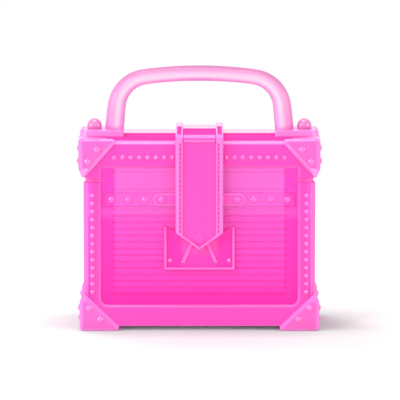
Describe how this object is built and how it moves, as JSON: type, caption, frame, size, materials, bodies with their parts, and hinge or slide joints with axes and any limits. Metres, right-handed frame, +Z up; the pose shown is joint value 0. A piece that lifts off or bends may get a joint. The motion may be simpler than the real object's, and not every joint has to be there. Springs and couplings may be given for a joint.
{
  "type": "bobbin box",
  "caption": "Small trunk-shaped sewing bobbin box in tinted plastic, with hinged lid, arched carrying handle, riveted corner caps and a pointed closing strap.",
  "frame": {"origin": "on the table, under the middle of the box's overall footprint", "axes": "+Z up, +X to the box's right as seen from the front, front with the strap towards -Y"},
  "size_m": [0.1108, 0.061, 0.118],
  "materials": {
    "shell_plastic": "gloss, see-through hot pink",
    "trim_plastic": "gloss, see-through hot pink",
    "strap_plastic": "gloss, see-through hot pink",
    "handle_plastic": "gloss, see-through pale pink",
    "rack_plastic": "gloss, see-through pink"
  },
  "bodies": {
    "base": {"base_tub": "shell_plastic", "base_corner_front_left": "trim_plastic", "base_corner_front_right": "trim_plastic", "base_corner_rear_left": "trim_plastic", "base_corner_rear_right": "trim_plastic", "base_corner_rivets": "trim_plastic", "post_studs": "trim_plastic", "front_belt": "trim_plastic", "hasp_bar": "trim_plastic", "belt_rivets": "trim_plastic", "keeper_pocket": "trim_plastic", "keeper_rivets": "trim_plastic", "snap_stud": "strap_plastic", "base_hinge_leaf_left": "trim_plastic", "base_hinge_leaf_right": "trim_plastic", "base_hinge_rivets": "trim_plastic", "hinge_pin_left": "trim_plastic", "hinge_pin_right": "trim_plastic", "bobbin_rack": "rack_plastic"},
    "lid": {"lid_shell": "shell_plastic", "lid_corner_front_left": "trim_plastic", "lid_corner_front_right": "trim_plastic", "lid_corner_rear_left": "trim_plastic", "lid_corner_rear_right": "trim_plastic", "lid_corner_rivets": "trim_plastic", "lid_studs": "trim_plastic", "strap_saddle": "strap_plastic", "strap_pin": "strap_plastic", "lid_hinge_leaf_left": "trim_plastic", "lid_hinge_leaf_right": "trim_plastic", "lid_hinge_rivets": "trim_plastic", "handle": "handle_plastic", "handle_foot_left": "handle_plastic", "handle_foot_right": "handle_plastic", "dome_stud_left": "handle_plastic", "dome_stud_right": "handle_plastic"},
    "strap": {"strap_flap": "strap_plastic", "snap_cap": "strap_plastic"}
  },
  "joints": [
    {"name": "lid_hinge", "type": "hinge", "parent": "base", "child": "lid", "pos_m": [0, 0.02875, 0.0685], "axis": [-1, 0, 0], "range_deg": [0, 105]},
    {"name": "strap_hinge", "type": "hinge", "parent": "lid", "child": "strap", "pos_m": [0, -0.0285, 0.0873], "axis": [-1, 0, 0], "range_deg": [0, 110]}
  ]
}
